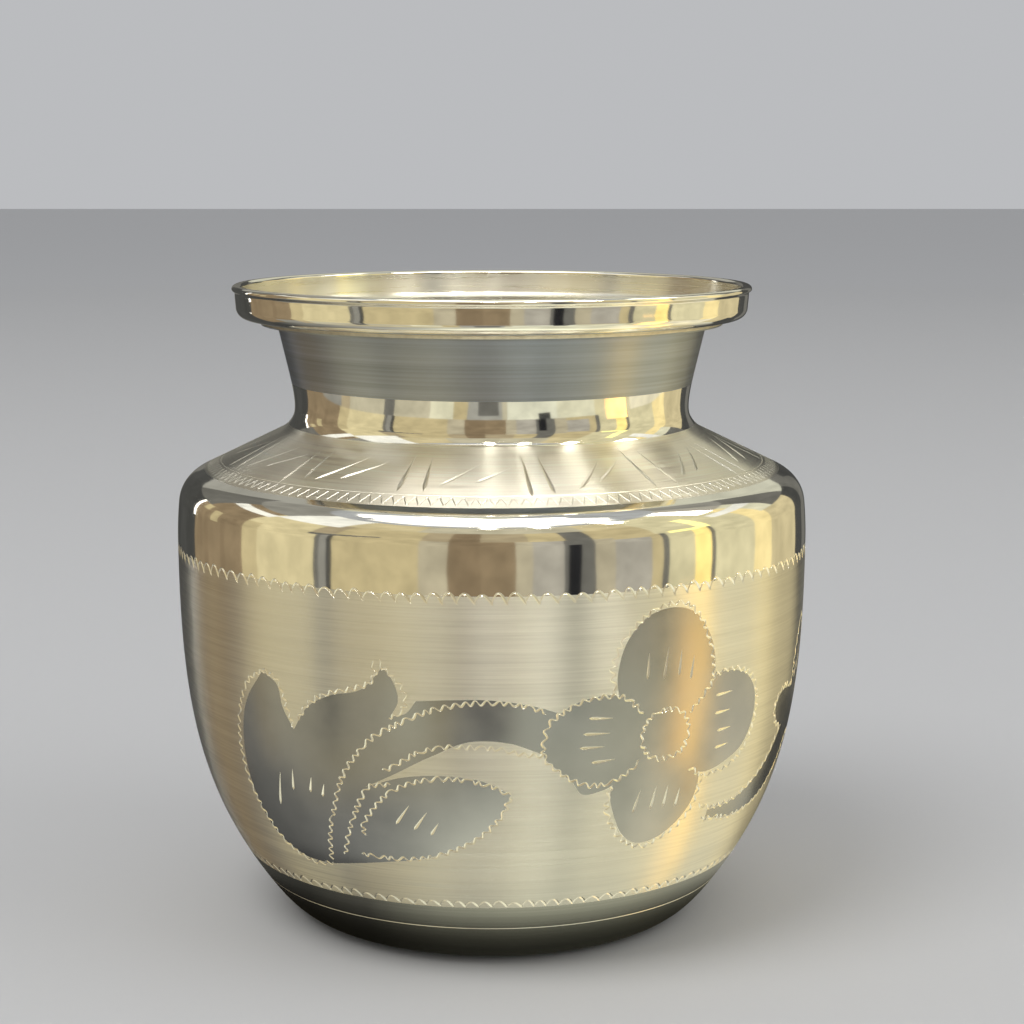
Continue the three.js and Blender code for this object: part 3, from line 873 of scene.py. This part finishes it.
bowl_rows = np.linspace(0, bowl_skin.along[-1], BOWL_ROWS)
bowl_outlines = [np.stack(on_bowl(ring), 1) for ring in dull_rings]
bowl_outlines += [level_ring(bowl_along(height)) for height in (LOW_BORDER, TOP_BORDER)]
bowl_outside = bowl_skin.mesh(bowl_rows, bowl_outlines, bowl_cuts, bowl_finish)
bowl_inside = turned([
    corner_at(*belly_rim),
    back(between(belly, 18, WALL, BASE_HEIGHT, BELLY_HEIGHT)),
    corner_at(*base_rim),
], WITHIN)
welded("engraved_bowl", [bowl_outside, bowl_inside], [BRUSHED, DARKENED_SATIN, CUT, MIRROR, SHADED_BASE_METAL, INSIDE],
       "brushed_bowl", "belly_bowl")

# Shoulder: a polished band and round edge, a brushed cone with straight cuts, and a polished cove
CONE_GROUND, CONE_CUT, CONE_POLISHED, CONE_WITHIN = range(4)
CONE_EDGE = 39.3  # radius of the cone's brushed ground
COVE_EDGE = 67.74  # height at which the cove's polish begins
CONE_LINE = 37.05  # radius of the turned line inside the zigzag
CONE_ROWS = (8, 26, 16, 14, 8)  # for each curve
cone_curves = (polished_band, round_edge, cone, turn_in, waist_below)
cone_skin = Skin(cone_curves, ring_scale=35)
cone_along = cone_skin.along_at_radius

cone_cuts = Grooves()
for start in CUT_STARTS:
    for a, outer, b, inner in RADIAL_CUTS + SLANTED_CUTS:
        shift = start + CHANCE.normal(0, 0.5)
        outer, inner = outer + CHANCE.normal(0, 0.35), inner + CHANCE.normal(0, 0.3)
        tick(cone_cuts, (a + shift, outer), (b + shift, inner), cone_along, **CONE_TICK)
zigzag_turn = np.linspace(0, 360, ZIGZAG["count"] * 12 + 1)
phase = zigzag_turn / 360 * ZIGZAG["count"] * 2 * math.pi
bumps = ZIGZAG["swing"] * (np.sin(phase) - 0.12 * np.sin(3 * phase))
unsteady = np.interp(zigzag_turn, np.linspace(0, 360, 40), np.append(CHANCE.normal(0, 0.07, 39), 0))
zigzag_along = cone_along(ZIGZAG["radius"] + bumps + unsteady)
cone_cuts.cut(zigzag_turn, zigzag_along, ZIGZAG["half"], ZIGZAG["depth"])
turned_line(cone_cuts, cone_along(CONE_LINE), half=0.06, depth=0.03)


def cone_finish(azimuth, along, cut):
    ground = (cone_skin.radius(along) < CONE_EDGE) & (cone_skin.height(along) < COVE_EDGE)
    kinds = np.where(ground, CONE_GROUND, CONE_POLISHED)
    kinds[cut] = CONE_CUT
    return kinds


stretch_ends = np.concatenate([[0], np.cumsum([curve_length(c) for c in cone_curves])])
cone_rows = np.concatenate([
    np.linspace(stretch_ends[k], stretch_ends[k + 1], count, endpoint=False)
    for k, count in enumerate(CONE_ROWS)
] + [cone_skin.along[-1:]])
cone_outlines = [level_ring(cone_along(CONE_EDGE)), level_ring(cone_skin.along_at_height(COVE_EDGE))]
cone_outside = cone_skin.mesh(cone_rows, cone_outlines, cone_cuts, cone_finish)
cone_inside = turned([
    corner_at(seam_radius, WAIST_HEIGHT),
    back(between(lower_cove, 12, WALL, foot_height(lower_cove, WALL), WAIST_HEIGHT)),
    back(trace(corner, 12, WALL)),
    back(without_ends(trace(band, 6, (lap_inner, WALL)))),
    back(between(belly, 4, lap_inner, belly_lap_foot, BELLY_HEIGHT)),
    between(belly, 4, lap_outer, belly_lap_foot, BELLY_HEIGHT),
    corner_at(*belly_rim),
], CONE_WITHIN)
welded("cut_shoulder", [cone_outside, cone_inside], [LIT_CONE_METAL, CUT, MIRROR, INSIDE],
       "brushed_shoulder", "shoulder_dome")

# Neck: polished foot, brushed flare, and a flange that carries the collar
NECK_BRUSHED, NECK_POLISHED, NECK_WITHIN = range(3)
NECK_BRUSH_FOOT = 73.3
spigot_outer, spigot_inner = WAIST_RADIUS - lap_outer, WAIST_RADIUS - lap_inner
foot_share = reach(waist_above, 0, NECK_BRUSH_FOOT)


def neck_finish(middle):
    return NECK_BRUSHED if middle[1] > NECK_BRUSH_FOOT else NECK_POLISHED


neck_outside = turned([
    corner_at(spigot_outer, WAIST_HEIGHT),
    trace(waist_above, 16, 0, 0, foot_share),
    trace(waist_above, 10, 0, foot_share, 1),
    trace(neck, 6, 0, soft_top, 1),
    corner_at(flange_radius, flange_height),
    corner_at(flange_radius, COLLAR_HEIGHT),
    corner_at(bore_radius, COLLAR_HEIGHT),
], neck_finish)
neck_inside = turned([
    corner_at(bore_radius, COLLAR_HEIGHT),
    back(trace(upper_cove, 12, (lap_inner, WALL))),
    corner_at(spigot_inner, neck_lap_foot),
    corner_at(spigot_outer, neck_lap_foot),
    corner_at(spigot_outer, WAIST_HEIGHT),
], NECK_WITHIN)
welded("flared_neck", [neck_outside, neck_inside], [SHADED_BLUE_NECK_METAL, MIRROR, INSIDE], "brushed_neck", "neck_funnel")

# Collar: a ledge on the flange, an upright polished band and an out-turned lip
collar_outside = turned([
    corner_at(bore_radius, COLLAR_HEIGHT),
    trace(collar_corner, 14),
    trace(collar_band, 10),
    trace(flick, 8),
    trace(lip, 20),
], OUTER)
collar_inside = turned([
    corner_at(*lip.place(1.0)[0]),
    back(trace(collar_band, 10, COLLAR_SHEET)),
    back(trace(collar_corner, 12, COLLAR_SHEET)),
    corner_at(bore_radius, COLLAR_HEIGHT + COLLAR_SHEET),
    corner_at(bore_radius, COLLAR_HEIGHT),
], INNER)
welded("polished_mouth", [collar_outside, collar_inside], [MIRROR, SHEEN],
       "polished_collar", "mouth_collar")


# Beads of solder with hollow faces, as the metal draws them
def bead(name, solid, section):
    welded(name, [turned(section, OUTER, True, BEAD_COLUMNS)], [SOLDER], "solder", solid)


def hollow(start, corner_point, end):
    return trace(bend(start, (start + end) / 2 * 0.6 + corner_point * 0.4, end), 6)


def lap_bead(name, solid, curve, lap_radius, height, leg):
    """A bead that lies on the end of a lap and leans on the wall, or hangs if leg is negative."""
    lap = at(lap_radius, height)
    foot, top = (at(radius_at(curve, lap_outer, level), level) for level in (height, height + leg))
    if leg > 0:
        section = [corner_at(*lap), corner_at(*foot), hollow(top, foot, lap)]
    else:
        section = [corner_at(*foot), hollow(lap, foot, top)]
    bead(name, solid, section)


base_lap_radius = radius_at(belly, lap_inner, base_lap_top)
belly_lap_radius = radius_at(belly, lap_inner, belly_lap_foot)
lap_bead("base_joint_bead", "base_solder", belly, base_lap_radius, base_lap_top, BEAD_LEG)
lap_bead("belly_joint_bead", "belly_solder", belly, belly_lap_radius, belly_lap_foot, -BEAD_LEG)
lap_bead("neck_joint_bead", "neck_solder", lower_cove, spigot_inner, neck_lap_foot, -BEAD_LEG)
bead_corner = at(flange_radius + LAP_CLEARANCE, COLLAR_HEIGHT)
bead("collar_joint_bead", "collar_solder", [
    hollow(bead_corner - at(0, BEAD_LEG), bead_corner, bead_corner + at(BEAD_LEG, 0)),
    corner_at(*bead_corner),
])

# Camera, level with the mouth and looking slightly down. Metres and degrees.
CAMERA_PLACE = (0, -0.3034, 0.1039)
CAMERA_TILT = 9.161  # below level
LENS, SENSOR = 78, 36
SIDE_SHIFT = 0.0198
camera_data = bpy.data.cameras.new("camera")
camera_data.lens = LENS
camera_data.sensor_width = SENSOR
camera_data.shift_x = SIDE_SHIFT
camera_data.clip_start = 0.01
camera = placed("camera", camera_data)
camera.location = CAMERA_PLACE
camera.rotation_euler = (math.radians(90 - CAMERA_TILT), 0, 0)
scene.camera = camera
scene.view_settings.view_transform = "Standard"


# Studio: a pale floor, soft lights, and a room of pale and dark walls that only the metal sees
def hide_from(piece, *rays):
    for ray in rays:
        setattr(piece, "visible_" + ray, False)


def stage_mesh(name, vertices, faces, material):
    mesh = bpy.data.meshes.new(name)
    mesh.from_pydata(vertices, [], faces)
    mesh.materials.append(material)
    piece = placed(name, mesh)
    return piece


FLOOR_HALF = 4
FLOOR_GREY = (0.62, 0.62, 0.62, 1)
WORLD_GREY = (0.62, 0.63, 0.65, 1)
floor_material = new_material("pale_floor")
surface(floor_material, {"Base Color": FLOOR_GREY, "Roughness": 0.9, "Specular IOR Level": 0.1})
floor_corners = [(x * FLOOR_HALF, y * FLOOR_HALF, 0) for x, y in ((-1, -1), (1, -1), (1, 1), (-1, 1))]
floor = stage_mesh("floor", floor_corners, [(0, 1, 2, 3)], floor_material)
hide_from(floor, "glossy")

world = bpy.data.worlds.new("pale_world")
world.use_nodes = True
fill(world, world.node_tree.nodes["Background"], {"Color": WORLD_GREY, "Strength": 0.8})
scene.world = world


def soft_light(name, place, size, power):
    data = bpy.data.lights.new(name, "AREA")
    data.shape = "DISK"
    data.size = size
    data.energy = power
    lamp = placed(name, data)
    lamp.location = place
    lamp.rotation_euler = (Vector((0, 0, 0.05)) - lamp.location).to_track_quat("-Z", "Y").to_euler()
    hide_from(lamp, "glossy", "camera")


soft_light("key", (-0.5, -0.5, 1.1), 0.7, 6)
soft_light("fill", (0.8, -0.3, 0.7), 0.8, 2)

# Tones of the room
NIGHT = (0.02, 0.02, 0.022)
SHADE = (0.07, 0.07, 0.065)
DUSK = (0.17, 0.165, 0.145)
SLATE = (0.31, 0.30, 0.26)
STONE = (0.40, 0.39, 0.34)
ASH = (0.46, 0.43, 0.36)
BLUE_ASH = (0.45, 0.46, 0.46)
UMBER = (0.27, 0.20, 0.12)
RUSSET = (0.30, 0.225, 0.135)
TAN = (0.46, 0.38, 0.24)
SAND = (0.53, 0.47, 0.33)
FLAX = (0.58, 0.53, 0.38)
OCHRE = (0.60, 0.50, 0.28)
CREAM = (0.68, 0.58, 0.34)
STRAW = (0.76, 0.655, 0.38)
HAZE = (0.64, 0.63, 0.50)
PALE = (0.76, 0.69, 0.43)
MILK = (0.79, 0.76, 0.55)
FROST = (0.82, 0.81, 0.63)
VELLUM = (0.98, 0.90, 0.65)
FAIR = (1.15, 1.05, 0.72)
CLOUD = (1.05, 1.03, 0.92)
SNOW = (1.46, 1.42, 1.08)
GOLD = (1.05, 0.86, 0.42)
BRASS = (1.35, 1.05, 0.38)
AMBER = (1.65, 1.08, 0.48)
SUN = (3.00, 1.92, 0.66)
YELLOW = (1.70, 1.55, 0.60)
SOFT_LAMP = (3.0, 2.9, 2.6)
LAMP = (4.6, 4.45, 4.05)
TUBE = (27, 26.5, 23)

# Each ring of walls, by the azimuth at which a stretch begins
LOW_WALLS = (
    (-180, DUSK), (-165, SHADE), (-133, RUSSET), (-98, OCHRE), (-90, STRAW), (-64, DUSK), (-62, SLATE),
    (-59, SHADE), (-57, OCHRE), (-25, SAND), (-15, UMBER), (-4, RUSSET), (8, SAND), (14, ASH), (25, DUSK),
    (36, SAND), (43, OCHRE), (61.5, DUSK), (64, PALE), (75, BRASS), (82.5, DUSK), (84.5, PALE), (106, GOLD),
    (118, CREAM), (141, SHADE), (152, DUSK), (162, SHADE),
)
HIGH_WALLS = (
    (-180, STONE), (-151, DUSK), (-127, RUSSET), (-98, STRAW), (-67, TAN), (-57, OCHRE), (-25, TAN),
    (-15, UMBER), (-4, TAN), (13, OCHRE), (26, DUSK), (36, OCHRE), (60, PALE), (79, YELLOW), (85, PALE),
    (106, GOLD), (116, MILK), (127, DUSK), (146, HAZE),
)
CEILING = (
    (-180, HAZE), (-156, STONE), (-146, SLATE), (-96, CLOUD), (-62, CREAM), (-30, FLAX), (38, CREAM),
    (60, PALE), (98, LAMP), (112, ASH), (126, SLATE), (144, HAZE),
)
DOME = ((-180, HAZE), (-135, BLUE_ASH), (150, HAZE))
FEET_OF_WALLS = (
    (-180, SHADE), (-133, UMBER), (-114, SLATE), (-97, TAN), (-90, FLAX), (-65, DUSK), (-58, FLAX),
    (-36, MILK), (-22, OCHRE), (-14, SLATE), (5, FLAX), (9, FROST), (38, MILK), (62, PALE), (87, VELLUM),
    (118, CREAM), (135, SHADE),
)
# Below the walls the room fades into the table: tones at azimuths, for three heights
TABLE_EDGE = (
    (-180, NIGHT), (-133, SHADE), (-112, DUSK), (-98, SLATE), (-90, SLATE), (-80, FLAX), (-60, CREAM),
    (-25, CREAM), (-4, ASH), (12, MILK), (60, MILK), (66, FAIR), (84, PALE), (90, FAIR), (113, FAIR),
    (135, HAZE), (150, DUSK), (180, SHADE),
)
TABLE = (
    (-180, NIGHT), (-135, SHADE), (-114, DUSK), (-88, SLATE), (-50, STONE), (-20, HAZE), (0, FROST),
    (64, MILK), (72, FAIR), (92, FAIR), (104, PALE), (125, OCHRE), (145, DUSK), (180, SHADE),
)
TABLE_NEAR = (
    (-180, NIGHT), (-140, NIGHT), (-122, SHADE), (-106, DUSK), (-80, STONE), (-55, HAZE), (-36, FROST),
    (-22, SNOW), (50, SNOW), (80, FAIR), (97, FAIR), (111, SUN), (127, OCHRE), (145, SLATE), (165, SHADE),
    (180, NIGHT),
)
ROOM = 1.5  # radius, metres
ROOM_MIDDLE = 0.045  # height, metres
ROOM_TOP = 89.9  # elevation, degrees
WALL_CARD, RISE_CARD = 4, 6  # degrees between the corners of a card
card_vertices, card_faces, card_tones = [], [], []


def direction(azimuth, elevation, distance=ROOM):
    flat, rise = math.cos(math.radians(elevation)), math.sin(math.radians(elevation))
    return around(azimuth, distance * flat, distance * rise + ROOM_MIDDLE)


def glowing(rows, tones):
    """Adds a grid of corners, row by row, and their tones."""
    start, width = len(card_vertices), len(rows[0])
    for row in rows:
        card_vertices.extend(row.tolist())
    for row in range(len(rows) - 1):
        for column in range(width - 1):
            left = start + row * width + column
            card_faces.append((left, left + 1, left + 1 + width, left + width))
            card_tones.extend([tones[row][column], tones[row][column + 1],
                               tones[row + 1][column + 1], tones[row + 1][column]])


def card(first, last, low, high, tone_below, tone_above=None, distance=ROOM):
    """A glowing stretch of the room between two azimuths and two elevations, in degrees. Each tone is
    one colour, or two for its left and right ends."""
    across = np.linspace(first, last, max(2, round((last - first) / WALL_CARD) + 1))
    up = np.linspace(low, high, max(2, round((high - low) / RISE_CARD) + 1))
    below = np.array(tone_below, float)
    above = below if tone_above is None else np.array(tone_above, float)
    share = ((across - first) / (last - first))[:, None]

    def blend(tone):
        return tone + 0 * share if tone.ndim == 1 else tone[0] * (1 - share) + tone[1] * share

    rise = ((up - low) / (high - low))[:, None, None]
    tones = blend(below) * (1 - rise) + blend(above) * rise
    glowing([direction(across, elevation, distance) for elevation in up], tones)


def ring_of_cards(stretches, low, high):
    for (first, tone), (last, _) in zip(stretches, stretches[1:] + ((180, None),)):
        card(first, last, low, high, tone)


def tone_at(knots, azimuth):
    places = [knot[0] for knot in knots]
    return np.array([np.interp(azimuth, places, [knot[1][k] for knot in knots]) for k in range(3)])


def fading_ring(lower, upper, low, high):
    for first in range(-180, 180, WALL_CARD):
        last = first + WALL_CARD
        below, above = ([tone_at(knots, end) for end in (first, last)] for knots in (lower, upper))
        card(first, last, low, high, below, above)


def hang(inward, *cards):
    """Cards that hang a little inside the room, in front of those behind."""
    for each in cards:
        card(*each, distance=ROOM - inward)


ring_of_cards(FEET_OF_WALLS, -28, -16)
ring_of_cards(LOW_WALLS, -16, 17)
ring_of_cards(HIGH_WALLS, 17, 41)
ring_of_cards(CEILING, 41, 58)
ring_of_cards(DOME, 58, ROOM_TOP)
fading_ring(TABLE, TABLE_EDGE, -42, -28)
fading_ring(TABLE_NEAR, TABLE, -64, -42)
card(-180, 180, -ROOM_TOP, -64, SLATE)
hang(0.01, (-14, 6, -34, -16, STONE))
hang(0.02, (-8, 4, -33, -20, DUSK), (27, 34, -21, -16, SHADE))
# A low evening light from the right
hang(
    0.02, (69, 84, -30, -11, [AMBER, SUN]), (84, 96, -37, -29, [AMBER, GOLD]),
    (92, 104, -47, -37, [GOLD, SUN]), (100, 118, -58, -47, [GOLD, AMBER]),
)
# Light strips on the walls, a dark door, and a bar that slants up the left wall
hang(
    0.02, (-134, -132.6, -4, 17, LAMP), (-127, -96, 31, 37, CLOUD), (96, 127, 31, 37, CLOUD),
    (66, 79, 15, 20, YELLOW), (26.5, 31, -16, 5, NIGHT), (-96, -62, 36, 41, CLOUD),
)
hang(0.02, *((-68 + 4 * k, -64 + 4 * k, 13 + k, 17 - 0.3 * k + k, DUSK) for k in range(7)))
# Marks on the left wall, and a grey one on the right
hang(
    0.02, (-130, -126, -8, 5, UMBER), (-124, -121, -12, 9, UMBER), (-119, -114, -2, 14, OCHRE),
    (-112, -109, -12, 6, UMBER), (-105, -102, 1, 12, UMBER), (-128, -123, 10, 17, OCHRE),
    (43, 57, -13, 12, ASH),
)
# The table close round the foot, a glow that only the metal mirrors, with the pot's shadow painted in: tones
# at azimuths, and shares at radii
ROUND_FOOT = (
    (-180, DUSK), (-120, SHADE), (-60, SHADE), (-35, DUSK), (-12, HAZE), (8, FROST), (40, FROST),
    (60, HAZE), (110, SLATE), (150, DUSK), (180, DUSK),
)
PAINTED_FOOT_SHADOW = ((0, 0.02), (29, 0.03), (31, 0.05), (33, 0.13), (35, 0.45), (37, 0.85), (40, 1), (46, 1))
GLOW_HEIGHT = -0.3  # just under the floor, which the metal does not mirror
foot_turn = np.arange(-180, 181, 6.0)
outer_tones = np.array([tone_at(ROUND_FOOT, azimuth) for azimuth in foot_turn])
glowing([around(foot_turn, radius, GLOW_HEIGHT) * MM for radius, _ in PAINTED_FOOT_SHADOW],
        [outer_tones * share for _, share in PAINTED_FOOT_SHADOW])
# Lamps under the ceiling
hang(
    0.03, (-125, -40, 76, ROOM_TOP, LAMP), (-40, 50, 76, ROOM_TOP, SOFT_LAMP), (50, 110, 76, ROOM_TOP, LAMP),
    (-125, -95, 64, 76, [BLUE_ASH, LAMP]), (-95, -30, 66, 76, [LAMP, SOFT_LAMP]),
    (-30, 40, 66, 76, SOFT_LAMP), (40, 90, 66, 76, [SOFT_LAMP, LAMP]), (-80, 80, 61, 66, BLUE_ASH, SOFT_LAMP),
)
hang(0.05, (-4, 1, 56, 68, TUBE), (23, 28, 56, 66, TUBE), (60, 68, 54, 64, TUBE))

glow_material = new_material("room_glow")
glow_tree = glow_material.node_tree
glow_tree.nodes.remove(glow_tree.nodes["Principled BSDF"])
mottle = ranged(glow_material, noise(glow_material, (4, 4, 4), 4, 0.6), 0.82, 1.18)
tones = node(glow_material, "VertexColor", {}, layer_name="glow").outputs["Color"]
emission = node(glow_material, "Emission", {"Strength": mottle, "Color": tones})
glow_tree.links.new(emission.outputs[0], glow_tree.nodes["Material Output"].inputs["Surface"])
room = stage_mesh("room", card_vertices, card_faces, glow_material)
layer = room.data.color_attributes.new("glow", "FLOAT_COLOR", "CORNER")
layer.data.foreach_set("color", np.column_stack([card_tones, np.ones(len(card_tones))]).ravel())
hide_from(room, "camera", "diffuse", "transmission", "volume_scatter", "shadow")
